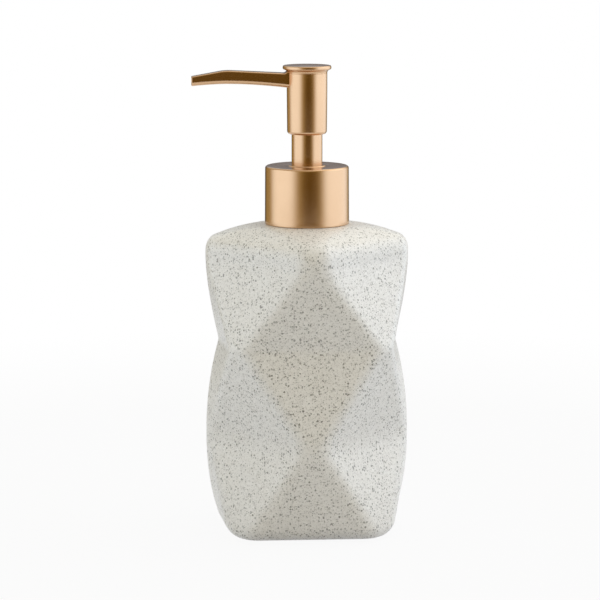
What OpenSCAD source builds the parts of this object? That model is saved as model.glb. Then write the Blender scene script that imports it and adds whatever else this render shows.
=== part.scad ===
// Soap pump dispenser: a faceted stoneware bottle with a metal-clad lotion pump.
// Millimetres, +Z up, origin at the centre of the face it stands on.
// The spout points along -X.

/* [Bottle] */
// Height of the flat land under the collar
land_z = 119.5; // [119:0.1:120]
// Height of the upper square ring, the widest of the shoulder
shoulder_z = 109.5; // [108:0.5:111]
// Height of the waist, where the facets meet in a crease
waist_z = 74.9; // [68:0.1:80]
// Height of the lower square ring, the belly
belly_z = 38; // [32:0.5:44]
// Distance from the axis to a vertical edge of the square rings
square_reach = 39.4; // [38:0.1:42]
// Radius that softens the vertical edges
edge_r = 9.8; // [8:0.1:11]
// Half depth across the flat front and back of the waist
corner_half = 31.8; // [31:0.1:33]
// How far the crease at the waist is drawn in from the square rings
waist_in = 5; // [3:0.1:6]
// How far the lowest ring is drawn in from the belly
base_in = 6.4; // [4:0.1:7]
// Radius of the round inside
cavity_r = 27; // [24:0.1:27.2]
// Thickness of the floor
floor_t = 5.4; // [4:0.1:8]

/* [Neck] */
// Radius of the bonded spigot in the mouth
mouth_r = 11; // [10:0.1:12]
// Radius of the neck under its thread
neck_r = 12.4; // [12.2:0.05:12.4]
// Height of the neck above the bottle
neck_h = 10.5; // [9.5:0.1:10.5]
// Pitch of the closure thread
thread_pitch = 3.175; // [3:0.025:3.2]
// Turns of thread on the neck and in the cap
thread_turns = 1.25; // [1:0.05:1.3]

/* [Collar] */
// Outer radius at the foot of the collar
collar_r = 16.3; // [16.2:0.05:17]
// Height of the collar's shell
collar_h = 22.2; // [21.5:0.1:23]
// Wall of the shell
shell_t = 0.85; // [0.6:0.05:1]

/* [Pump] */
// Travel of the pump head
stroke = 11.5; // [10:0.1:11.5]
// Radius of the pump chamber
chamber_r = 5.75; // [5.6:0.05:5.8]
// Radius of the hollow stem
stem_r = 3.5; // [3.3:0.1:3.5]
// Clearance of every sliding fit
running_gap = 0.05; // [0.02:0.01:0.08]
// Radius of the intake ball
ball_r = 2.4; // [2.2:0.1:2.4]
// Radius of the outlet ball
outlet_ball_r = 1.7; // [1.6:0.1:1.7]
// Number of active coils of the return spring
spring_coils = 5; // [4:1:5]
// Outer radius of the dip tube
dip_r = 2.5; // [2.3:0.1:2.5]

/* [Head] */
// Outer radius of the barrel
barrel_r = 7.8; // [7.7:0.05:8]
// Height of the top of the cap above the base
head_z = 181; // [180.8:0.1:182]
// Radius of the cap's rim
cap_r = 9.4; // [9:0.1:10]
// Outer radius of the sleeve that slides into the collar
sleeve_r = 5.95; // [5.8:0.05:5.95]

/* [Nozzle] */
// Reach of the nozzle from the pump axis
nozzle_reach = 44.4; // [40:0.1:50]
// Distance from the axis to the bend in its top
nozzle_bend = 31.5; // [28:0.5:34]
// Half width at the barrel
nozzle_root_half = 3.7; // [3.2:0.1:4]
// Half width at the tip
nozzle_tip_half = 2.3; // [2.1:0.1:2.6]
// Radius of the liner inside the nozzle
liner_r = 1.1; // [1:0.05:1.1]

/* [Hidden] */

// Colours
stone = "#d9d6cf";
gold = "#c39a6b";
white_plastic = "#e9e8e4";
clear_plastic = "#dfe6e8";
grey_rubber = "#6f6d69";
steel = "#b9bcc0";

cut = 0.5;      // how far a cutting solid runs past the face it cuts
round_fn = 96;  // facets of a full circle where a preview draws one
small_fn = 48;  // the same for bores and balls

// Bottle: the plan is a square turned on its edge that fades into a six-sided waist,
// flat at front and back and with a blunt tip at each side. Both are softened by a
// disc of edge_r. Every ring is such a sum of outlines.
pad_h = 1.2;
pad_proud = 0.6;
pad_r = 24;
base_z = pad_proud;
square_r = square_reach - edge_r;     // the square before it is softened
corner_r = corner_half - edge_r;      // the waist's flat corner before it is softened
base_round = 4.7;                     // radius of the lowest edge
rim_in = 5.5;                         // width and height of the rounded rim above the shoulder
rim_up = 6.8;
rim_sweep = 60;
land_r = 19;
floor_z = base_z + floor_t;
cavity_round = 6;                     // radius between the cavity's floor and wall
wall_top = shoulder_z - 7.5;          // where the cavity starts to close in
cavity_bend = [cavity_r - 2, shoulder_z - 1.5];
cavity_dome = [cavity_r - 8, land_z - 7];
mouth_low = land_z - 5;
faint = 0.02;                         // smallest share of an outline, so no edge has length 0
arc_tip = 4;                          // steps on a tip arc and on a flank arc
arc_flank = 3;

// Neck and closure
insert_drop = 7.5;
insert_bore = 8.6;
neck_top = land_z + neck_h;
thread_rib = 1.25;                    // how far a thread stands off its wall
thread_root_w = 1.5;
thread_crest_w = 0.7;
thread_step = 15;                     // degrees between two sections of a thread
thread_lead = 60;                     // degrees over which a thread fades in and out
thread_low = land_z + 2.6;
cap_wall_r = neck_r + thread_rib + 0.3;
gasket_h = 1.2;
flange_z = neck_top + gasket_h;
flange_h = 1.4;
flange_r = 12.3;
web_z = flange_z + flange_h;
web_h = 1.6;
rim_r = 9.8;
clip_h = 2.4;
clip_r = 12.6;
cap_hole_r = rim_r + 0.2;
cap_low = land_z + 1.4;
collar_z = land_z + 0.6;
collar_top = collar_z + collar_h;
collar_draft = 0.15;                      // how far the outside draws in towards its top
collar_in = collar_r - collar_draft - shell_t;
bush_r = 7.2;
bush_low = collar_top - 3.1;

// Pump
upper_bore = 6.8;
guide_z = land_z + 2;
guide_h = 6;
housing_r = 8;
chamber_wall = 1.25;
cage_z = land_z - 27.7;
cage_h = 1.2;
valve_r = 3.2;
throat_r = 1.6;
seat_z = cage_z - 4.8;                    // top of the 45 degree seat
throat_z = seat_z - (valve_r - throat_r);
socket_top = throat_z - 1.4;
socket_low = socket_top - 8;
tail_wall = 1.5;
seat_gap = 0.04;
ball_z = throat_z - throat_r + (ball_r + seat_gap) * sqrt(2);
rod_low = guide_z - 8.5;
rod_top = guide_z - 0.5;
rod_r = 4.4;
rod_flange_r = 5.2;
rod_flange_h = 1.2;
stem_low = rod_low + 2;
stem_bore = 1.6;
wire_r = 0.4;
coil_r = 4;
spring_low = cage_z + cage_h;
spring_len = rod_low - spring_low;
dip_low = floor_z + 1.8;
dip_bore = 1.7;

// Head
head_gap = 0.7;                           // left between barrel and collar at the end of the travel
barrel_z = collar_top + stroke + head_gap;
barrel_draft = 0.15;
shell_low_round = 1.3;
shell_inner = barrel_r - shell_t;
core_low = barrel_z + shell_t;
core_top = head_z - 3.6;
shell_top = head_z - 3;
sleeve_t = 0.65;
sleeve_low = collar_top - 2.7;
sleeve_top = barrel_z + 7.5;
stem_top = sleeve_top + 6;
stem_seat_r = 1.1;
stem_cup_r = 2.2;
outlet_z = stem_top - (stem_cup_r - stem_seat_r) - stem_seat_r + (outlet_ball_r + seat_gap) * sqrt(2);
outlet_chamber_r = 2.6;
outlet_chamber_h = 4.5;
rise_r = 1.3;
liner_z = head_z - 5.6;
liner_bore = 0.75;

// Nozzle: heights of its upper and lower line, from the top of the head
root_top = head_z - 3.4;
bend_top = head_z - 1.8;
tip_top = head_z - 4.1;
root_low = head_z - 9.4;
bend_low = head_z - 7;
tip_low = head_z - 7.8;
nozzle_steps = 14;
nozzle_upper_r = 0.7;                     // radii of its upper and lower edges
nozzle_lower_r = 1.6;
arc_nozzle = 5;                           // steps on each of these edges

// Points on an arc about [x, z]
function arc(x, z, r, a0, a1, n) =
    [for (i = [0:n]) let (a = a0 + (a1 - a0) * i / n) [x + r * cos(a), z + r * sin(a)]];

// A hyperbola's rise from 0 at d = 0 to 1 at d = 1, straight but for its first part
function eased(d, soft) = (sqrt(d * d + soft * soft) - soft) / (sqrt(1 + soft * soft) - soft);

// One ring of the bottle, as [height, share of square, share of waist, tip radius of waist, edge radius]
function band_ring(z, d, soft, inward, power, r) =
    let (fade = min(max(eased(d, soft), faint), 1 - faint))
    [z, 1 - fade, fade, square_r - inward * pow(max(d, faint), power - 1), r];

// Arc of an outline: centre c, normals from a0 to a1
function soft_corner(c, r, a0, a1, n) =
    [for (i = [0:n]) let (a = a0 + (a1 - a0) * i / n) c + r * [cos(a), sin(a)]];

// Half of a ring's outline: the side tip, then both flanks of the two corners
function half_outline(g) =
    let (tip = g[3])
    let (flat = atan((tip - corner_r) / corner_r))
    let (square_side = g[1] * [square_r, 0])
    let (square_back = g[1] * [0, square_r])
    let (right = g[2] * [corner_r, corner_r])
    let (left = g[2] * [-corner_r, corner_r])
    concat(
        soft_corner(square_side + g[2] * [tip, 0], g[4], -flat, flat, arc_tip),
        soft_corner(square_side + right, g[4], flat, 45, arc_flank),
        soft_corner(square_back + right, g[4], 45, 90, arc_flank),
        soft_corner(square_back + left, g[4], 90, 135, arc_flank),
        soft_corner(left - square_side, g[4], 135, 180 - flat, arc_flank)
    );

function ring_points(g) =
    [for (turn = [1, -1]) for (p = half_outline(g)) [turn * p[0], turn * p[1], g[0]]];

ring_count = 2 * (arc_tip + 1 + 4 * (arc_flank + 1));

// All rings of the bottle, from the foot to the land
foot_rings = [
    for (i = [0:4])
        let (a = 90 * i / 4)
        let (z = base_z + base_round * (1 - cos(a)))
        let (d = (belly_z - z) / (belly_z - base_z))
        band_ring(z, d, 0.06, base_in, 2, edge_r - base_round * (1 - sin(a)))
];
lower_rings = [
    for (i = [1:8])
        let (z = base_z + base_round + (belly_z - base_z - base_round) * i / 8)
        band_ring(z, (belly_z - z) / (belly_z - base_z), 0.06, base_in, 2, edge_r)
];
middle_rings = [
    for (i = [1:9])
        let (d = i / 9)
        band_ring(belly_z + (waist_z - belly_z) * d, d, 0.06, waist_in, 2, edge_r)
];
upper_rings = [
    for (i = [8:-1:0])
        let (d = i / 9)
        band_ring(shoulder_z - (shoulder_z - waist_z) * d, d, 0.15, waist_in, 1.5, edge_r)
];
rim_rings = [
    for (i = [1:5])
        let (a = rim_sweep * i / 5)
        [shoulder_z + rim_up * sin(a), 1 - faint, faint, square_r, edge_r - rim_in * (1 - cos(a))]
];
rim_end = rim_rings[4];
dome_rings = [
    for (i = [1:6])
        let (t = i / 6)
        [
            rim_end[0] + (land_z - rim_end[0]) * (1 - pow(1 - t, 1.9)),
            max((1 - faint) * (1 - t), faint), faint, square_r,
            rim_end[4] * (1 - t) + (land_r - faint * 2 * square_r) * t
        ]
];
bottle_rings = concat(foot_rings, lower_rings, middle_rings, upper_rings, rim_rings, dome_rings);

// Closed skin through rings of n points each, the first ring lowest
module skin(rings, n) {
    last = len(rings) - 1;
    points = [for (ring = rings) for (p = ring) p];
    sides = [
        for (k = [0:last - 1]) for (i = [0:n - 1])
            let (j = (i + 1) % n)
            for (f = [0:1])
                let (low = k * n)
                let (high = low + n)
                f == 0 ? [low + i, high + i, high + j] : [low + i, high + j, low + j]
    ];
    ends = [[for (i = [0:n - 1]) i], [for (i = [n - 1:-1:0]) last * n + i]];
    polyhedron(points = points, faces = concat(sides, ends), convexity = 10);
}

// Round solid on the axis from height low to height high
module post(r, low, high) {
    translate([0, 0, low]) cylinder(r = r, h = high - low, $fn = round_fn);
}

// Tube with a bore, standing on z
module tube(r, bore, z, h) {
    difference() {
        post(r, z, z + h);
        post(bore, z - cut, z + h + cut);
    }
}

// Round solid along the nozzle, from the axis to a distance
module along_nozzle(r, distance) {
    translate([0, 0, liner_z]) rotate([0, -90, 0]) cylinder(r = r, h = distance, $fn = small_fn);
}

module turned_profile(points) {
    rotate_extrude($fn = round_fn) polygon(points);
}

// Helical rib on a wall, right-handed, fading in and out at its ends
module thread(wall_r, out, z) {
    steps = round(thread_turns * 360 / thread_step);
    lead = thread_lead / thread_step;
    buried = wall_r - sign(out) * 0.35;
    rings = [
        for (i = [0:steps])
            let (a = i * thread_step)
            let (h = z + thread_pitch * a / 360)
            let (crest = wall_r + out * min(1, i / lead, (steps - i) / lead))
            let (section = [
                [buried, -thread_root_w / 2], [crest, -thread_crest_w / 2],
                [crest, thread_crest_w / 2], [buried, thread_root_w / 2]
            ])
            [for (p = section) [p[0] * cos(a), p[0] * sin(a), h + p[1]]]
    ];
    if (out > 0)
        skin([for (ring = rings) [for (i = [3:-1:0]) ring[i]]], 4);
    else
        skin(rings, 4);
}

module bottle() {
    color(stone)
        difference() {
            skin([for (g = bottle_rings) ring_points(g)], ring_count);
            post(pad_r, base_z - cut, pad_h);
            turned_profile(concat(
                [[0, floor_z]],
                arc(cavity_r - cavity_round, floor_z + cavity_round, cavity_round, -90, 0, 6),
                [[cavity_r, wall_top], cavity_bend, cavity_dome, [mouth_r, mouth_low], [0, mouth_low]]
            ));
            post(mouth_r, mouth_low - cut, land_z + cut);
        }
}

module base_pad() {
    color(grey_rubber) post(pad_r, 0, pad_h);
}

module neck_insert() {
    color(white_plastic) {
        difference() {
            union() {
                post(mouth_r, land_z - insert_drop, land_z + cut);
                post(neck_r, land_z, neck_top);
                thread(neck_r, thread_rib, thread_low);
            }
            post(insert_bore, land_z - insert_drop - cut, neck_top + cut);
        }
    }
}

module neck_gasket() {
    color(white_plastic) tube(flange_r, housing_r + 0.15, neck_top, gasket_h);
}

module pump_housing() {
    tail_r = dip_r + tail_wall;
    barrel = chamber_r + chamber_wall;
    top = web_z + web_h + clip_h;
    neck_low = guide_z - 3;         // the outside widens here to the upper bore's wall
    outside = [
        [0, socket_low], [tail_r, socket_low], [tail_r, throat_z], [barrel, seat_z + 2.5],
        [barrel, neck_low], [housing_r, neck_low + 1], [housing_r, flange_z], [flange_r, flange_z],
        [flange_r, web_z], [rim_r, web_z], [rim_r, top], [0, top]
    ];
    inside = [
        [0, socket_low - cut], [dip_r, socket_low - cut], [dip_r, socket_top], [throat_r, socket_top],
        [throat_r, throat_z], [valve_r, seat_z], [valve_r, cage_z], [chamber_r, cage_z],
        [chamber_r, guide_z], [upper_bore, guide_z], [upper_bore, top + cut], [0, top + cut]
    ];
    vent_r = 0.6;
    color(white_plastic)
        difference() {
            turned_profile(outside);
            turned_profile(inside);
            // Vent that lets air into the bottle as soap leaves it
            translate([0, 0, guide_z + guide_h / 2])
                rotate([0, 90, 0]) cylinder(r = vent_r, h = housing_r + cut, $fn = small_fn);
        }
}

module closure_clip() {
    low = web_z + web_h;
    high = low + clip_h;
    edge_h = 0.8;
    top_w = 1.2;
    color(white_plastic)
        turned_profile([
            [rim_r, low], [clip_r, low], [clip_r, low + edge_h], [rim_r + top_w, high], [rim_r, high]
        ]);
}

module guide_bush() {
    guide_bore = stem_r + running_gap;
    top = guide_z + guide_h;
    rim_w = 0.8;
    funnel_h = 1.2;                 // the funnel that leads the stem in, and its lead-in edge
    lead_in = 0.4;
    color(white_plastic)
        turned_profile([
            [guide_bore, guide_z], [upper_bore, guide_z], [upper_bore, top], [upper_bore - rim_w, top],
            [guide_bore + lead_in, top - funnel_h], [guide_bore, top - funnel_h - lead_in]
        ]);
}

module ball_cage() {
    slot_w = 1.2;
    slot_l = 6.2;
    color(white_plastic)
        difference() {
            tube(chamber_r, throat_r, cage_z, cage_h);
            for (a = [0, 90])
                rotate([0, 0, a])
                    translate([-slot_l / 2, -slot_w / 2, cage_z - cut])
                        cube([slot_l, slot_w, cage_h + 2 * cut]);
        }
}

module dip_tube() {
    slant = 30;
    cutter = 20;
    color(clear_plastic)
        difference() {
            tube(dip_r, dip_bore, dip_low, socket_top - dip_low);
            // Slanted lower end, so the tube can't seal itself against the floor
            translate([0, 0, dip_low])
                rotate([0, slant, 0]) translate([-cutter / 2, -cutter / 2, -cutter]) cube(cutter);
        }
}

// Two closed end coils and the active coils between them
module return_spring() {
    steps = 16;
    wire_sides = 6;
    turns = spring_coils + 2;
    rise = 2 * wire_r * 1.02;
    active = (spring_len - 2 * wire_r - 2 * rise) / spring_coils;
    rings = [
        for (i = [0:turns * steps])
            let (t = i / steps)
            let (a = 360 * t)
            let (h = rise * min(t, 1) + active * min(max(t - 1, 0), spring_coils)
                + rise * max(t - 1 - spring_coils, 0))
            [
                for (k = [0:wire_sides - 1])
                    let (b = 360 * k / wire_sides + 90)
                    let (r = coil_r + wire_r * cos(b))
                    [r * cos(a), r * sin(a), spring_low + wire_r + h + wire_r * sin(b)]
            ]
    ];
    color(steel) skin([for (ring = rings) [for (i = [wire_sides - 1:-1:0]) ring[i]]], wire_sides);
}

module screw_cap() {
    color(white_plastic) {
        difference() {
            post(collar_in, cap_low, web_z + web_h);
            post(cap_wall_r, cap_low - cut, web_z);
            post(cap_hole_r, web_z - cut, web_z + web_h + cut);
        }
        thread(cap_wall_r, -thread_rib, thread_low + thread_pitch / 2);
    }
}

module collar_shell() {
    top_r = collar_r - collar_draft;
    fold = 1;
    hem = 0.7;
    color(gold)
        turned_profile(concat(
            [[collar_in, collar_z], [collar_r - hem, collar_z]],
            arc(collar_r - hem, collar_z + hem, hem, -90, 0, 4),
            arc(top_r - fold, collar_top - fold, fold, 0, 90, 5),
            [[bush_r, collar_top], [bush_r, collar_top - shell_t], [collar_in, collar_top - shell_t]]
        ));
}

module collar_bush() {
    bore = sleeve_r + running_gap;
    under = collar_top - shell_t;
    lip = 0.25;
    barb_r = bush_r + 1.2;          // the barb that snaps in under the shell
    barb_h = 1;
    color(gold)
        turned_profile([
            [bore, bush_low], [bush_r, bush_low], [barb_r, under - barb_h], [barb_r, under],
            [bush_r, under], [bush_r, collar_top], [bush_r + lip, collar_top], [bush_r, collar_top + lip],
            [bore, collar_top + lip]
        ]);
}

module piston_seal() {
    low = rod_low + rod_flange_h;
    lip_r = chamber_r - running_gap;
    lip_h = 1.4;
    relief = 0.6;                   // depth of the groove between the lips, with 45 degree sides
    waist = lip_r - relief;
    color(clear_plastic)
        turned_profile([
            [rod_r, low], [lip_r, low], [lip_r, low + lip_h], [waist, low + lip_h + relief],
            [waist, rod_top - lip_h - relief], [lip_r, rod_top - lip_h], [lip_r, rod_top],
            [rod_r, rod_top]
        ]);
}

module piston_rod() {
    socket = stem_r + running_gap;
    color(white_plastic)
        turned_profile([
            [throat_r, rod_low], [rod_flange_r, rod_low], [rod_flange_r, rod_low + rod_flange_h],
            [rod_r, rod_low + rod_flange_h], [rod_r, rod_top], [socket, rod_top], [socket, stem_low],
            [throat_r, stem_low]
        ]);
}

module stem() {
    seat_low = stem_top - (stem_cup_r - stem_seat_r);
    seat_bore_h = 1;
    bore_top = seat_low - 2 * seat_bore_h;
    color(white_plastic)
        turned_profile([
            [stem_bore, stem_low], [stem_r, stem_low], [stem_r, stem_top], [stem_cup_r, stem_top],
            [stem_seat_r, seat_low], [stem_seat_r, seat_low - seat_bore_h], [stem_bore, bore_top]
        ]);
}

module actuator_core() {
    color(white_plastic)
        difference() {
            post(shell_inner, core_low, core_top);
            post(sleeve_r, core_low - cut, sleeve_top);
            post(stem_r, sleeve_top - cut, stem_top);
            post(outlet_chamber_r, stem_top - cut, stem_top + outlet_chamber_h);
            post(rise_r, stem_top, liner_z);
            along_nozzle(liner_r, barrel_r + cut);
        }
}

module stem_sleeve() {
    color(gold) tube(sleeve_r, sleeve_r - sleeve_t, sleeve_low, sleeve_top - sleeve_low);
}

// Outside of the barrel, which draws in slightly towards its rounded lower edge
module barrel_solid() {
    low_r = barrel_r - barrel_draft;
    turned_profile(concat(
        [[0, barrel_z], [low_r - shell_low_round, barrel_z]],
        arc(low_r - shell_low_round, barrel_z + shell_low_round, shell_low_round, -90, 0, 6),
        [[barrel_r, root_low - 2], [barrel_r, shell_top], [0, shell_top]]
    ));
}

module head_shell() {
    color(gold)
        difference() {
            barrel_solid();
            post(shell_inner, core_low, shell_top + cut);
            post(sleeve_r, barrel_z - cut, core_low + cut);
            along_nozzle(liner_r, barrel_r + cut);
        }
}

module head_cap() {
    edge = 0.5;                     // round nose of the rim
    flare = 1.3;                    // cove between barrel and rim
    cove_z = head_z - 2.5;
    nose_z = head_z - 0.75;
    top_w = 1.2;                    // width of the slope from the nose to the flat top
    color(gold)
        turned_profile(concat(
            [[0, core_top], [shell_inner, core_top], [shell_inner, shell_top], [barrel_r, shell_top]],
            arc(barrel_r + flare, cove_z, flare, 180, 115, 5),
            arc(cap_r - edge, nose_z, edge, -60, 75, 6),
            [[cap_r - top_w, head_z], [0, head_z]]
        ));
}

// Upper and lower line of the nozzle at a distance s from the axis
function nozzle_top(s) = s < nozzle_bend
    ? root_top + (bend_top - root_top) * s / nozzle_bend
    : bend_top - (bend_top - tip_top) * (s - nozzle_bend) / (nozzle_reach - nozzle_bend);
function nozzle_low(s) = s < nozzle_bend
    ? root_low + (bend_low - root_low) * sin(90 * s / nozzle_bend)
    : bend_low + (tip_low - bend_low) * pow((s - nozzle_bend) / (nozzle_reach - nozzle_bend), 1.5);
function nozzle_half(s) = nozzle_root_half + (nozzle_tip_half - nozzle_root_half) * s / nozzle_reach;

// Section across the nozzle at s, as [across, height]: flat sides between rounded edges
function nozzle_section(s) =
    let (upper = [nozzle_half(s) - nozzle_upper_r, nozzle_top(s) - nozzle_upper_r])
    let (lower = [nozzle_half(s) - nozzle_lower_r, nozzle_low(s) + nozzle_lower_r])
    concat(
        soft_corner(upper, nozzle_upper_r, 0, 90, arc_nozzle),
        soft_corner([-upper[0], upper[1]], nozzle_upper_r, 90, 180, arc_nozzle),
        soft_corner([-lower[0], lower[1]], nozzle_lower_r, 180, 270, arc_nozzle),
        soft_corner(lower, nozzle_lower_r, 270, 360, arc_nozzle)
    );

module nozzle_solid() {
    start = barrel_r - 3;
    count = 4 * (arc_nozzle + 1);
    rings = [
        for (i = [0:nozzle_steps])
            let (s = start + (nozzle_reach - start) * i / nozzle_steps)
            let (section = nozzle_section(s))
            [for (k = [count - 1:-1:0]) [-s, section[k][0], section[k][1]]]
    ];
    skin(rings, count);
}

module nozzle_shell() {
    color(gold)
        difference() {
            nozzle_solid();
            post(barrel_r, 0, head_z);
            along_nozzle(liner_r, nozzle_reach + cut);
        }
}

module nozzle_liner() {
    inset = 0.6;
    reach = nozzle_reach - outlet_chamber_r - inset;
    color(clear_plastic)
        translate([-outlet_chamber_r, 0, 0])
            difference() {
                along_nozzle(liner_r, reach);
                translate([cut, 0, 0]) along_nozzle(liner_bore, reach + 2 * cut);
            }
}

module intake_ball() {
    color(steel) translate([0, 0, ball_z]) sphere(r = ball_r, $fn = small_fn);
}

module outlet_ball() {
    color(steel) translate([0, 0, outlet_z]) sphere(r = outlet_ball_r, $fn = small_fn);
}

bottle();
base_pad();
neck_insert();
neck_gasket();
pump_housing();
closure_clip();
guide_bush();
ball_cage();
dip_tube();
return_spring();
screw_cap();
collar_shell();
collar_bush();
piston_seal();
piston_rod();
stem();
actuator_core();
stem_sleeve();
head_shell();
head_cap();
nozzle_shell();
nozzle_liner();
intake_ball();
outlet_ball();
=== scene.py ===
import math

import bmesh
import bpy
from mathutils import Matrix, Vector


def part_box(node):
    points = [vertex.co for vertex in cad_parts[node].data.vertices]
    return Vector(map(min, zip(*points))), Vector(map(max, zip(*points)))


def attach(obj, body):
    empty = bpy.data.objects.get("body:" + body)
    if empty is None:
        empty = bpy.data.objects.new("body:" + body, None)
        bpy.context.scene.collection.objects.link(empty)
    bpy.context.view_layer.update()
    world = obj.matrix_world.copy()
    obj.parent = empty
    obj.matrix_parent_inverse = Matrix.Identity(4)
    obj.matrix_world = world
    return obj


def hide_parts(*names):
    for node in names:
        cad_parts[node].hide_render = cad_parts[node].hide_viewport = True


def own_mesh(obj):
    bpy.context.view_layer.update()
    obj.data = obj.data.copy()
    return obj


# Soap pump dispenser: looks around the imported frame. Metres, +Z up, the spout points along -X.

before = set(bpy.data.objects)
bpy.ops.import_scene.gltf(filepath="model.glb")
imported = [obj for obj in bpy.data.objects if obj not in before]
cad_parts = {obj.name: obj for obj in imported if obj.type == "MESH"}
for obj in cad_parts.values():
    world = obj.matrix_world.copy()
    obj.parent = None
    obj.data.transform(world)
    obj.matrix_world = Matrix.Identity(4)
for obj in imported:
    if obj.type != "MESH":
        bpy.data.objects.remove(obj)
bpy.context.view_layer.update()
scene = bpy.context.scene

# Bottle, as the CAD model rings it. Distances that the frame doesn't give are repeated here.
SHOULDER_Z = 0.1095     # upper square ring
WAIST_Z = 0.0749        # crease of the facets
BELLY_Z = 0.038         # lower square ring
EDGE_R = 0.0098         # softening of the vertical edges
CORNER_HALF = 0.0318    # half depth of the waist
WAIST_IN = 0.005        # draw-in of the waist at the sides
BASE_IN = 0.0064        # draw-in of the foot
BASE_ROUND = 0.0056     # radius of the lowest edge
FOOT_SOFT = 0.0018      # how much rounder the foot's corners are than the belly's
RIM_IN = 0.0055         # the rounded rim above the shoulder
RIM_UP = 0.0068
RIM_SWEEP = math.radians(60)
LOWER_EASE = 0.06       # how gently the waist fades in from the belly, and the foot's corners too
UPPER_EASE = 0.15       # and how gently it does from the shoulder
LOWER_POWER = 2         # how the sides draw in, below the waist and above it
UPPER_POWER = 1.5
SHOULDER_POWER = 1.9    # how soon the shoulder levels out towards the mouth
LAND_R = 0.0168         # radius of the flat land at the mouth, just wider than the collar
LAND_RISE = 0.0003      # how much higher the glaze stands round the collar's foot than under it
GLAZE_LIP = 0.0017      # width of the raised glaze, and of it with its slope down to the mouth
GLAZE_SLOPE = 0.0027
CAVITY_R = 0.027
FLOOR_T = 0.0054
MOUTH_R = 0.011
MOUTH_DEPTH = 0.005
FAINT = 0.02            # smallest share of an outline in a ring

# Collar and head
FINE_R = 0.0001         # radius of the sharpest edges
SHELL_T = 0.00085
SLEEVE_T = 0.00065
TAPER = 0.00015         # how much narrower the collar's top and the barrel's foot are
TAPER_END = 0.007       # from the barrel's top down to where its taper starts
COLLAR_HOLE_R = 0.0072
COLLAR_GAP = 0.00005    # between the glaze and the collar's foot
CAP_COVE = 0.0021       # from the cap's top down to the cove under its rim, and to the rim's lower corner
CAP_RIM = 0.0014
CAP_DRAFT = 0.0001      # how far the rim's upper corner is in and down
CAP_DOME = 0.0003
NOZZLE_BEND = 0.0315    # from the axis to the bend in the nozzle's top
NOZZLE_TOP = (0.0034, 0.0018, 0.0041)  # how far its top is below the head's, at the axis, bend and tip
NOZZLE_UNDERSIDE = (0.0094, 0.0070, 0.0078)  # and how far its underside is
NOZZLE_ROOT_HALF = 0.0037
NOZZLE_TIP_HALF = 0.0023
NOZZLE_BORE = 0.0011
NOZZLE_BORE_DROP = 0.0056  # how far the bore is below the head's top
NOZZLE_UPPER_R = 0.0005  # radii of its upper and lower edges
NOZZLE_LOWER_R = 0.0016
NOZZLE_FLARE = 0.0007   # how far its top sweeps up to the barrel, and over what length
NOZZLE_FLARE_L = 0.0013
NOZZLE_TIP_POWER = 1.5  # how late its underside falls towards the tip
BEND_ROUND = 0.00015    # how far the bend's peak is rounded off, and how far to each side
BEND_ROUND_L = 0.002

# Camera
EYE_DISTANCE = 1.014
EYE_HEIGHT = 0.253
EYE_AZIMUTH = math.radians(-4)
AIM = Vector((-0.0027, 0, 0.0897))
LENS = 158.3

# Paper under the object
FLOOR_R = 0.45
PAPER_FADE = 0.24       # from the axis to where the paper starts to fade out
PAPER_GLOW = 0.93       # how bright the lit paper looks to the camera


# Meshes

SHARP_TURN = math.radians(35)


def finish_mesh(name, bm, material):
    """Makes an object of bm, smooth but for edges that turn more than SHARP_TURN."""
    bmesh.ops.remove_doubles(bm, verts=bm.verts, dist=1e-7)
    bmesh.ops.recalc_face_normals(bm, faces=bm.faces)
    for edge in bm.edges:
        edge.smooth = len(edge.link_faces) == 2 and edge.calc_face_angle(0) < SHARP_TURN
    for face in bm.faces:
        face.smooth = True
    mesh = bpy.data.meshes.new(name)
    bm.to_mesh(mesh)
    bm.free()
    mesh.materials.append(material)
    piece = bpy.data.objects.new(name, mesh)
    scene.collection.objects.link(piece)
    return piece


def add_rings(bm, rings, closed=False):
    """Joins rings of equal length, given as points, with quads. closed joins the last to the first."""
    made = [[bm.verts.new(p) for p in ring] for ring in rings]
    count = len(made[0])
    pairs = list(zip(made, made[1:] + made[:1]))
    for low, high in pairs if closed else pairs[:-1]:
        for i in range(count):
            j = (i + 1) % count
            bm.faces.new((low[i], low[j], high[j], high[i]))
    return made


def weigh_normals(piece):
    """Keeps the flats flat beside their rounded edges."""
    weighted = piece.modifiers.new("flat faces", "WEIGHTED_NORMAL")
    weighted.keep_sharp = True


def between(start, end, steps, first=0):
    """steps + 1 values from start to end, leaving out the first ones."""
    return [start + (end - start) * i / steps for i in range(first, steps + 1)]


def rounded(corners, steps=8, closed=True):
    """Profile points of corners (r, z, radius), each rounded by an arc of its radius."""
    points = []
    count = len(corners)
    for i, (r, z, radius) in enumerate(corners):
        here = Vector((r, z))
        if radius == 0:
            points.append(here)
            continue
        back = (Vector(corners[i - 1][:2]) - here).normalized()
        on = (Vector(corners[(i + 1) % count][:2]) - here).normalized()
        half = back.angle(on) / 2
        centre = here + (back + on).normalized() * radius / math.sin(half)
        start = here + back * radius / math.tan(half) - centre
        end = here + on * radius / math.tan(half) - centre
        sweep = start.angle(end)
        for t in between(0, 1, steps):
            along = start * math.sin((1 - t) * sweep) + end * math.sin(t * sweep)
            points.append(centre + along / math.sin(sweep))
    return points


def swept(points, angles):
    """A ring for each profile point (r, z), with a vertex at each angle."""
    return [[(r * math.cos(a), r * math.sin(a), z) for a in angles] for r, z in points]


def turned(name, points, material, closed=True, steps=144):
    """Lathe piece of the profile points (r, z). closed joins the last point to the first."""
    bm = bmesh.new()
    turns = [2 * math.pi * i / steps for i in range(steps)]
    add_rings(bm, swept(points, turns), closed)
    return finish_mesh(name, bm, material)


# Materials

NOISE_REACH = (0.3, 0.7)  # what a noise texture mostly stays between
GRAIN_EDGE = 0.12       # width of a grain's soft edge, as a share of the largest grain's radius


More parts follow.
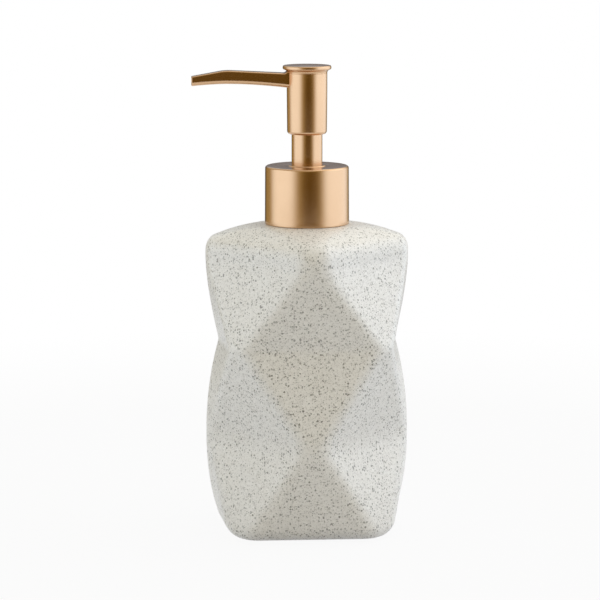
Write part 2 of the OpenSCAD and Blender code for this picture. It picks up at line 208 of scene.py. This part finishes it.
def add_node(tree, kind, inputs=(), **settings):
    """A new node in a tree. Each input is an output to link to it, or a value."""
    made = tree.nodes.new(kind)
    for key, value in settings.items():
        setattr(made, key, value)
    for key, value in dict(inputs).items():
        if isinstance(value, bpy.types.NodeSocket):
            tree.links.new(value, made.inputs[key])
        else:
            made.inputs[key].default_value = value
    return made


class Shader:
    """A material with its node tree and Principled shader, and short ways to add to it."""

    def __init__(self, name, **sockets):
        self.material = bpy.data.materials.new(name)
        self.material.use_nodes = True
        self.tree = self.material.node_tree
        self.out = self.tree.nodes["Principled BSDF"]
        for socket, value in sockets.items():
            self.out.inputs[socket.replace("_", " ")].default_value = value
        self.place = self.node("ShaderNodeTexCoord").outputs["Object"]

    def node(self, kind, inputs=(), **settings):
        return add_node(self.tree, kind, inputs, **settings)

    def link(self, output, socket):
        self.tree.links.new(output, self.out.inputs[socket])

    def noise(self, size, detail=2):
        """Noise whose features are about size across, from 0 to 1."""
        inputs = {"Vector": self.place, "Scale": 1 / size, "Detail": detail}
        return self.node("ShaderNodeTexNoise", inputs).outputs["Fac"]

    def remap(self, value, low, high, to_low=0, to_high=1):
        inputs = {"Value": value, "From Min": low, "From Max": high, "To Min": to_low, "To Max": to_high}
        return self.node("ShaderNodeMapRange", inputs).outputs["Result"]

    def mottle(self, size, detail, low=0, high=1):
        """Noise whose features are about size across, stretched to reach from low to high."""
        return self.remap(self.noise(size, detail), *NOISE_REACH, low, high)

    def math(self, operation, a, b):
        return self.node("ShaderNodeMath", {0: a, 1: b}, operation=operation).outputs[0]

    def vector(self, operation, inputs):
        return self.node("ShaderNodeVectorMath", inputs, operation=operation).outputs[0]

    def mix(self, factor, a, b):
        """Colour a where factor is 0, and b where it is 1."""
        return self.node("ShaderNodeMix", {0: factor, 6: a, 7: b}, data_type="RGBA").outputs[2]

    def bump(self, height, distance, normal=None):
        inputs = {"Height": height, "Distance": distance, "Strength": 1}
        if normal is not None:
            inputs["Normal"] = normal
        return self.node("ShaderNodeBump", inputs).outputs["Normal"]


def specks(shader, place, spacing, largest, share, faint, strong):
    """Grains of all sizes up to a largest radius, scattered through the clay. 0 outside a grain, and from
    faint to strong inside one. share of the cells hold a grain."""
    cells = shader.node("ShaderNodeTexVoronoi", {"Vector": place, "Scale": 1 / spacing})
    chance = shader.node("ShaderNodeSeparateColor", {"Color": cells.outputs["Color"]})
    size = shader.remap(chance.outputs["Red"], 1 - share, 1, 0, largest / spacing)
    inside = shader.math("SUBTRACT", size, cells.outputs["Distance"])
    mask = shader.remap(inside, 0, GRAIN_EDGE * largest / spacing)
    return shader.math("MULTIPLY", mask, shader.remap(chance.outputs["Green"], 0, 1, faint, strong))


def stoneware():
    """Matt glazed stoneware: warm off-white, full of dark and pale grains of ragged outline."""
    s = Shader("stoneware", Roughness=0.5, IOR=1.5, Coat_Weight=0.4, Coat_Roughness=0.3)
    ragged = 0.0006
    warp = s.node("ShaderNodeTexNoise", {"Vector": s.place, "Scale": 1 / ragged, "Detail": 2})
    centred = s.vector("SUBTRACT", {0: warp.outputs["Color"], 1: (0.5, 0.5, 0.5)})
    nudge = s.vector("SCALE", {0: centred, "Scale": 1.5 * ragged})
    place = s.vector("ADD", {0: s.place, 1: nudge})
    coarse = specks(s, place, spacing=0.00078, largest=0.00045, share=0.9, faint=0.2, strong=0.95)
    fine = specks(s, place, spacing=0.00042, largest=0.00025, share=1.0, faint=0.15, strong=0.68)
    pale = specks(s, place, spacing=0.0008, largest=0.0005, share=0.7, faint=0.3, strong=0.9)
    ground = s.mix(s.mottle(0.012, 3), (0.87, 0.86, 0.83, 1), (0.90, 0.895, 0.875, 1))
    ground = s.mix(s.mottle(0.0008, 3, high=0.6), ground, (0.76, 0.75, 0.73, 1))
    ground = s.mix(pale, ground, (0.93, 0.925, 0.905, 1))
    ground = s.mix(fine, ground, (0.32, 0.305, 0.275, 1))
    s.link(s.mix(coarse, ground, (0.15, 0.143, 0.127, 1)), "Base Color")
    s.link(s.mottle(0.004, 3, low=0.44, high=0.56), "Roughness")
    wave = s.bump(s.noise(0.009), distance=0.00025)
    grain = s.math("ADD", coarse, s.noise(0.0008))
    s.link(s.bump(grain, distance=0.00002, normal=wave), "Normal")
    return s.material


def champagne_gold():
    """Satin plating on spun metal, with faint differences in polish."""
    s = Shader("champagne_gold", Metallic=1.0)
    s.link(s.mix(s.mottle(0.02, 3), (0.625, 0.405, 0.24, 1), (0.655, 0.43, 0.26, 1)), "Base Color")
    s.link(s.mottle(0.006, 2, low=0.235, high=0.26), "Roughness")
    s.link(s.bump(s.noise(0.00015), distance=0.0000003), "Normal")
    return s.material


def plastic(name, colour, darker, **sockets):
    """Moulded plastic with a faint flow pattern and a fine moulded skin."""
    s = Shader(name, **sockets)
    s.link(s.mix(s.mottle(0.01, 3), darker, colour), "Base Color")
    s.link(s.mottle(0.002, 3, low=0.34, high=0.46), "Roughness")
    s.link(s.bump(s.noise(0.0004, 3), distance=0.000006), "Normal")
    return s.material


def foam_rubber():
    """Grey closed-cell foam."""
    s = Shader("foam_rubber", Roughness=0.85)
    cells = s.node("ShaderNodeTexVoronoi", {"Vector": s.place, "Scale": 1 / 0.0005}).outputs["Distance"]
    s.link(s.mix(s.remap(cells, 0.1, 0.6), (0.13, 0.125, 0.12, 1), (0.19, 0.185, 0.175, 1)), "Base Color")
    s.link(s.mottle(0.003, 2, low=0.8, high=0.9), "Roughness")
    s.link(s.bump(cells, distance=0.00008), "Normal")
    return s.material


def drawn_steel():
    """Bright stainless wire and balls."""
    s = Shader("drawn_steel", Metallic=1.0, Roughness=0.25)
    s.link(s.mix(s.mottle(0.004, 3), (0.50, 0.50, 0.51, 1), (0.60, 0.60, 0.61, 1)), "Base Color")
    s.link(s.mottle(0.0008, 4, low=0.2, high=0.32), "Roughness")
    s.link(s.bump(s.noise(0.0002, 3), distance=0.000002), "Normal")
    return s.material


stone = stoneware()
gold = champagne_gold()
white_plastic = plastic("white_plastic", (0.82, 0.82, 0.80, 1), (0.77, 0.77, 0.745, 1))
clear_plastic = plastic("clear_plastic", (0.80, 0.84, 0.85, 1), (0.74, 0.79, 0.80, 1),
                        Transmission_Weight=0.55)
rubber = foam_rubber()
steel = drawn_steel()
SLOT_MATERIALS = {"stone": stone, "gold": gold, "white_plastic": white_plastic,
                  "clear_plastic": clear_plastic, "pad": rubber, "steel": steel}


# Bottle

bottle_low, bottle_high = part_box("bottle")
base_z = bottle_low.z
land_z = bottle_high.z
square_r = bottle_high.x - EDGE_R
corner_r = CORNER_HALF - EDGE_R


def eased(d, soft):
    """A hyperbola's rise from 0 to 1, straight but for its first part."""
    return (math.hypot(d, soft) - soft) / (math.hypot(1, soft) - soft)


def band_ring(z, d, soft, inward, power, radius):
    """A ring as height, share of the square, share of the waist, the waist's side tip and edge radius."""
    fade = min(max(eased(d, soft), FAINT), 1 - FAINT)
    return z, 1 - fade, fade, square_r - inward * max(d, FAINT) ** (power - 1), radius


def foot_ring(z, radius):
    return band_ring(z, (BELLY_Z - z) / (BELLY_Z - base_z), LOWER_EASE, BASE_IN, LOWER_POWER, radius)


def bottle_rings():
    """The square turned on its edge fades into the six-sided waist and back."""
    rings = []
    for a in between(0, math.pi / 2, 10):
        z = base_z + BASE_ROUND * (1 - math.cos(a))
        rings.append(foot_ring(z, EDGE_R - BASE_ROUND * (1 - math.sin(a))))
    for z in between(base_z + BASE_ROUND, BELLY_Z, 26, 1):
        rings.append(foot_ring(z, EDGE_R))
    for d in between(0, 1, 30, 1):
        z = BELLY_Z + (WAIST_Z - BELLY_Z) * d
        rings.append(band_ring(z, d, LOWER_EASE, WAIST_IN, LOWER_POWER, EDGE_R))
    for d in between(1, 0, 30, 1):
        z = SHOULDER_Z - (SHOULDER_Z - WAIST_Z) * d
        rings.append(band_ring(z, d, UPPER_EASE, WAIST_IN, UPPER_POWER, EDGE_R))
    for a in between(0, RIM_SWEEP, 10, 1):
        rim = EDGE_R - RIM_IN * (1 - math.cos(a))
        rings.append((SHOULDER_Z + RIM_UP * math.sin(a), 1 - FAINT, FAINT, square_r, rim))
    end_z, end_r = rings[-1][0], rings[-1][4]
    for t in between(0, 1, 18, 1):
        z = end_z + (land_z + LAND_RISE - end_z) * (1 - (1 - t) ** SHOULDER_POWER)
        share = max((1 - FAINT) * (1 - t), FAINT)
        rings.append((z, share, FAINT, square_r, end_r * (1 - t) + (LAND_R - 2 * FAINT * square_r) * t))
    return rings


def outline(ring):
    """Points of a ring: the two outlines and the softening disc added together."""
    z, square, waist, tip, radius = ring
    soft = FOOT_SOFT * max(0, 1 - (z - base_z) / (BELLY_Z - base_z)) ** 2
    tip, corner, radius = tip - soft, corner_r - soft, radius + soft
    flat = math.atan((tip - corner) / corner)
    side = Vector((square * square_r, 0))
    back = Vector((0, square * square_r))
    right = waist * Vector((corner, corner))
    left = waist * Vector((-corner, corner))
    arcs = (
        (side + Vector((waist * tip, 0)), -flat, flat, 16),
        (side + right, flat, math.pi / 4, 12),
        (back + right, math.pi / 4, math.pi / 2, 12),
        (back + left, math.pi / 2, math.pi * 3 / 4, 12),
        (left - side, math.pi * 3 / 4, math.pi - flat, 12),
    )
    half = [c + radius * Vector((math.cos(a), math.sin(a)))
            for c, start, end, steps in arcs for a in between(start, end, steps)]
    return [(turn * x, turn * y, z) for turn in (1, -1) for x, y in half]


def make_bottle():
    skin = [outline(ring) for ring in bottle_rings()]
    angles = [math.atan2(y, x) for x, y, z in skin[0]]
    pad_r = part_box("base_pad")[1].x
    pad_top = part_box("base_pad")[1].z
    recess = [(0, pad_top), (pad_r, pad_top), (pad_r, base_z)]
    floor_z = base_z + FLOOR_T
    dome = (CAVITY_R - 0.008, land_z - 0.007)
    haunch = (CAVITY_R - 0.002, SHOULDER_Z - 0.0015)
    wall_top = (CAVITY_R, SHOULDER_Z - 0.0075)
    inside = rounded([
        (LAND_R - GLAZE_LIP, land_z + LAND_RISE, 0), (LAND_R - GLAZE_SLOPE, land_z, 0),
        (MOUTH_R, land_z, 0.0006), (MOUTH_R, land_z - MOUTH_DEPTH, 0.002), (*dome, 0.004),
        (*haunch, 0.006), (*wall_top, 0.006), (CAVITY_R, floor_z, 0.006), (0, floor_z, 0),
    ])
    bm = bmesh.new()
    add_rings(bm, swept(recess, angles) + skin + swept(inside, angles))
    piece = finish_mesh("bottle_body", bm, stone)
    weigh_normals(piece)
    return piece


# Pump

def make_base_pad():
    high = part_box("base_pad")[1]
    corners = [(0, 0, 0), (high.x, 0, 0.0004), (high.x, high.z, 0.0002), (0, high.z, 0)]
    return turned("grip_pad", rounded(corners, closed=False), rubber, closed=False)


def make_collar():
    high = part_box("collar_shell")[1]
    inner = high.x - TAPER - SHELL_T
    foot = land_z + LAND_RISE + COLLAR_GAP
    corners = [
        (inner, foot, FINE_R), (high.x, foot, 0.00025), (high.x - TAPER, high.z, 0.0009),
        (COLLAR_HOLE_R, high.z, FINE_R), (COLLAR_HOLE_R, high.z - SHELL_T, FINE_R),
        (inner, high.z - SHELL_T, 0.0004),
    ]
    return turned("collar_skirt", rounded(corners), gold, steps=192)


def make_sleeve():
    low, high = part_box("stem_sleeve")
    inner = high.x - SLEEVE_T
    corners = [
        (high.x, low.z, 0.0002), (high.x, high.z, 0.0002), (inner, high.z, FINE_R), (inner, low.z, FINE_R),
    ]
    return turned("sleeve_tube", rounded(corners), gold)


def make_barrel():
    low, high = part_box("head_shell")
    sleeve_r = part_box("stem_sleeve")[1].x
    inner = high.x - SHELL_T
    corners = [
        (sleeve_r, low.z, FINE_R), (high.x - TAPER, low.z, 0.0013), (high.x, high.z - TAPER_END, 0.02),
        (high.x, high.z, FINE_R), (inner, high.z, FINE_R), (inner, low.z + SHELL_T, 0.0004),
        (sleeve_r, low.z + SHELL_T, FINE_R),
    ]
    return turned("head_barrel", rounded(corners), gold)


def make_cap():
    low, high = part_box("head_cap")
    barrel_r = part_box("head_shell")[1].x
    seat_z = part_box("head_shell")[1].z
    inner = barrel_r - SHELL_T
    corners = [
        (0, low.z, 0), (inner, low.z, FINE_R), (inner, seat_z, FINE_R), (barrel_r, seat_z, FINE_R),
        (barrel_r, high.z - CAP_COVE, 0.0012), (high.x, high.z - CAP_RIM, 0.0006),
        (high.x - CAP_DRAFT, high.z - CAP_DRAFT, 0.0005), (0, high.z + CAP_DOME, 0),
    ]
    return turned("head_disc", rounded(corners, closed=False), gold, closed=False)


def make_nozzle():
    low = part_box("nozzle_shell")[0]
    head_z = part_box("head_cap")[1].z
    barrel_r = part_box("head_shell")[1].x
    reach = -low.x
    bore_z = head_z - NOZZLE_BORE_DROP
    top = [(s, head_z - drop) for s, drop in zip((0, NOZZLE_BEND, reach), NOZZLE_TOP)]
    root_low, bend_low, tip_low = (head_z - drop for drop in NOZZLE_UNDERSIDE)

    def flare(s):
        """How far the top sweeps up where the nozzle grows out of the barrel."""
        return NOZZLE_FLARE * max(0, min(1, 1 - (s - barrel_r) / NOZZLE_FLARE_L)) ** 2

    def upper(s):
        (s0, z0), (s1, z1) = top[:2] if s < NOZZLE_BEND else top[1:]
        straight = z0 + (z1 - z0) * (s - s0) / (s1 - s0)
        near = max(0, 1 - abs(s - NOZZLE_BEND) / BEND_ROUND_L)
        return straight - BEND_ROUND * near * near + flare(s)

    def lower(s):
        if s > NOZZLE_BEND:
            past = (s - NOZZLE_BEND) / (reach - NOZZLE_BEND)
            return bend_low + (tip_low - bend_low) * past ** NOZZLE_TIP_POWER
        return root_low + (bend_low - root_low) * math.sin(math.pi / 2 * s / NOZZLE_BEND)

    def section(s, shrink=0.0):
        """The nozzle's outline at a distance from the axis."""
        half = NOZZLE_ROOT_HALF + (NOZZLE_TIP_HALF - NOZZLE_ROOT_HALF) * s / reach - shrink
        points = []
        edges = (
            (1, 1, NOZZLE_UPPER_R), (-1, 1, NOZZLE_UPPER_R),
            (-1, -1, NOZZLE_LOWER_R), (1, -1, NOZZLE_LOWER_R),
        )
        for quarter, (side, up, radius) in enumerate(edges):
            y = side * (half - radius)
            z = upper(s) - shrink - radius if up > 0 else lower(s) + shrink + radius
            start = quarter * math.pi / 2
            points += [(-s, y + radius * math.cos(a), z + radius * math.sin(a))
                       for a in between(start, start + math.pi / 2, 10)]
        return points

    def bore(s, radius):
        turns = [math.atan2(z - bore_z, y) for x, y, z in section(reach)]
        return [(-s, radius * math.cos(a), bore_z + radius * math.sin(a)) for a in turns]

    def seated(radius):
        """Ends the nozzle on a cylinder about the pump's axis."""
        return [(-math.sqrt(radius ** 2 - y * y), y, z) for x, y, z in section(root)]

    root = barrel_r - 0.0002
    near_root = root + 0.003
    edge = 0.0003
    bevel = 0.00015
    rings = [seated(barrel_r - 0.0004)]
    rings += [section(s) for s in between(root, near_root, 16) + between(near_root, reach - edge, 60, 1)]
    rings += [section(reach - edge + edge * math.sin(a), edge * (1 - math.cos(a)))
              for a in between(0, math.pi / 2, 5, 1)]
    rings += [bore(reach, NOZZLE_BORE + bevel), bore(reach - bevel, NOZZLE_BORE)]
    rings.append(bore(root - 0.0006, NOZZLE_BORE))
    bm = bmesh.new()
    add_rings(bm, rings, closed=True)
    piece = finish_mesh("spout", bm, gold)
    weigh_normals(piece)
    return piece


def make_spring():
    """Round wire coiled between its closed ends."""
    low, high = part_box("return_spring")
    wire = 0.0004
    coil = high.x - wire
    active = 5
    closeness = 1.02
    rise = 2 * wire * closeness
    span = (high.z - low.z - 2 * wire - 2 * rise) / active
    steps = 40
    sides = 12
    turns = [2 * math.pi * k / sides for k in range(sides)]
    rings = []
    for i in range((active + 2) * steps + 1):
        t = i / steps
        climb = rise * min(t, 1) + span * min(max(t - 1, 0), active) + rise * max(t - 1 - active, 0)
        a = 2 * math.pi * t
        centre = low.z + wire + climb
        ring = [(coil + wire * math.cos(b), centre + wire * math.sin(b)) for b in turns]
        rings.append([(r * math.cos(a), r * math.sin(a), z) for r, z in ring])
    bm = bmesh.new()
    made = add_rings(bm, rings)
    bm.faces.new(made[0])
    bm.faces.new(made[-1])
    return finish_mesh("spring_wire", bm, steel)


def place(piece, body, slot, *nodes):
    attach(piece, body)
    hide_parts(*nodes)


place(make_bottle(), "container", "stone", "bottle")
place(make_base_pad(), "container", "pad", "base_pad")
place(make_collar(), "collar", "gold", "collar_shell")
place(make_sleeve(), "head", "gold", "stem_sleeve")
place(make_barrel(), "head", "gold", "head_shell")
place(make_cap(), "head", "gold", "head_cap")
place(make_nozzle(), "head", "gold", "nozzle_shell")
spring = make_spring()
place(spring, "pump", "steel", "return_spring")
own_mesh(spring)

# Carried-over CAD nodes keep their shape and take the material of their slot.
NODE_SLOTS = {
    "neck_insert": "white_plastic", "neck_gasket": "white_plastic", "pump_housing": "white_plastic",
    "closure_clip": "white_plastic", "guide_bush": "white_plastic", "ball_cage": "white_plastic",
    "dip_tube": "clear_plastic", "screw_cap": "white_plastic", "collar_bush": "gold",
    "piston_seal": "clear_plastic", "piston_rod": "white_plastic", "stem": "white_plastic",
    "actuator_core": "white_plastic", "nozzle_liner": "clear_plastic", "intake_ball": "steel",
    "outlet_ball": "steel",
}
for node, slot in NODE_SLOTS.items():
    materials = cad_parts[node].data.materials
    materials.clear()
    materials.append(SLOT_MATERIALS[slot])


# Camera

camera_data = bpy.data.cameras.new("camera")
camera_data.sensor_width = 36
camera_data.lens = LENS
camera = bpy.data.objects.new("camera", camera_data)
camera.location = (EYE_DISTANCE * math.sin(EYE_AZIMUTH), -EYE_DISTANCE * math.cos(EYE_AZIMUTH), EYE_HEIGHT)
camera.rotation_euler = (AIM - camera.location).to_track_quat("-Z", "Y").to_euler()
scene.collection.objects.link(camera)
scene.camera = camera


# Light and floor

bm = bmesh.new()
add_rings(bm, swept([(r, 0) for r in between(0, FLOOR_R, 6)], between(0, 2 * math.pi, 96)[:-1]))
paper = Shader("white_paper", Roughness=0.9)
far = paper.node("ShaderNodeVectorMath", {0: paper.place}, operation="LENGTH").outputs["Value"]
fibres = paper.mottle(0.003, 3)
paper.link(paper.mix(fibres, (0.515, 0.52, 0.54, 1), (0.545, 0.55, 0.57, 1)), "Base Color")
paper.link(paper.remap(far, PAPER_FADE, FLOOR_R, 1, 0), "Alpha")
# The paper is lit from below like a light table, so it shows white, with only a breath of shadow. Only the
# camera and reflections see that light: it shows in the metal and doesn't brighten the stone.
backlit = paper.node("ShaderNodeEmission", {"Color": (1, 1, 1, 1)}).outputs[0]
ray = paper.node("ShaderNodeLightPath").outputs
seen = paper.math("MAXIMUM", paper.math("MULTIPLY", ray["Is Camera Ray"], PAPER_GLOW), ray["Is Glossy Ray"])
table = paper.node("ShaderNodeMixShader", {0: seen, 1: paper.out.outputs[0], 2: backlit})
surface = paper.tree.nodes["Material Output"].inputs["Surface"]
paper.tree.links.new(table.outputs[0], surface)
floor = finish_mesh("floor", bm, paper.material)

# The studio: warm walls, dark where the camera stands and low behind the object, and soft lights around
# them. Each has an angle from the camera's side of the object, positive to the right, an elevation, the
# half angles of its full part and of all of it, and a radiance.
WALLS = (0.46, 0.35, 0.13)
DARK_SIDES = ((5, -8, 4, 34, (0.13, 0.07, 0)), (180, 0, 16, 36, (0.06, 0.04, 0.03)))
LIGHTS = (
    (-76, 1, 20, 52, (0.97, 1.21, 1.58)),
    (90, 3, 30, 60, (1.00, 1.25, 1.66)),
    (115, 50, 15, 45, (0.66, 0.60, 0.52)),
    (180, 50, 15, 50, (0.45, 0.60, 0.80)),
    (0, 78, 15, 50, (0.25, 0.31, 0.43)),
)
world = bpy.data.worlds.new("studio")
world.use_nodes = True
scene.world = world
tree = world.node_tree
direction = add_node(tree, "ShaderNodeTexCoord").outputs["Generated"]


def glow(angle, rise, full, fade):
    """1 within full degrees of a direction, and 0 from fade degrees on."""
    around, up = math.radians(angle), math.radians(rise)
    axis = (math.sin(around) * math.cos(up), -math.cos(around) * math.cos(up), math.sin(up))
    facing = add_node(tree, "ShaderNodeVectorMath", {0: direction, 1: axis}, operation="DOT_PRODUCT")
    inputs = {"Value": facing.outputs["Value"], "From Min": math.cos(math.radians(fade)),
              "From Max": math.cos(math.radians(full))}
    return add_node(tree, "ShaderNodeMapRange", inputs, interpolation_type="SMOOTHSTEP").outputs[0]


def blend(factor, a, b):
    """Radiance a where factor is 0, and b where it is 1."""
    return add_node(tree, "ShaderNodeMix", {0: factor, 4: a, 5: b}, data_type="VECTOR").outputs[1]


sky = WALLS
for *shape, radiance in DARK_SIDES:
    sky = blend(glow(*shape), sky, radiance)
for *shape, radiance in LIGHTS:
    inputs = {0: radiance, "Scale": glow(*shape)}
    lamp = add_node(tree, "ShaderNodeVectorMath", inputs, operation="SCALE").outputs[0]
    sky = add_node(tree, "ShaderNodeVectorMath", {0: sky, 1: lamp}, operation="ADD").outputs[0]
# The camera itself sees the studio as white.
shown = blend(add_node(tree, "ShaderNodeLightPath").outputs["Is Camera Ray"], sky, (1, 1, 1))
tree.links.new(shown, tree.nodes["Background"].inputs["Color"])

scene.view_settings.view_transform = "Standard"
scene.cycles.use_denoising = True
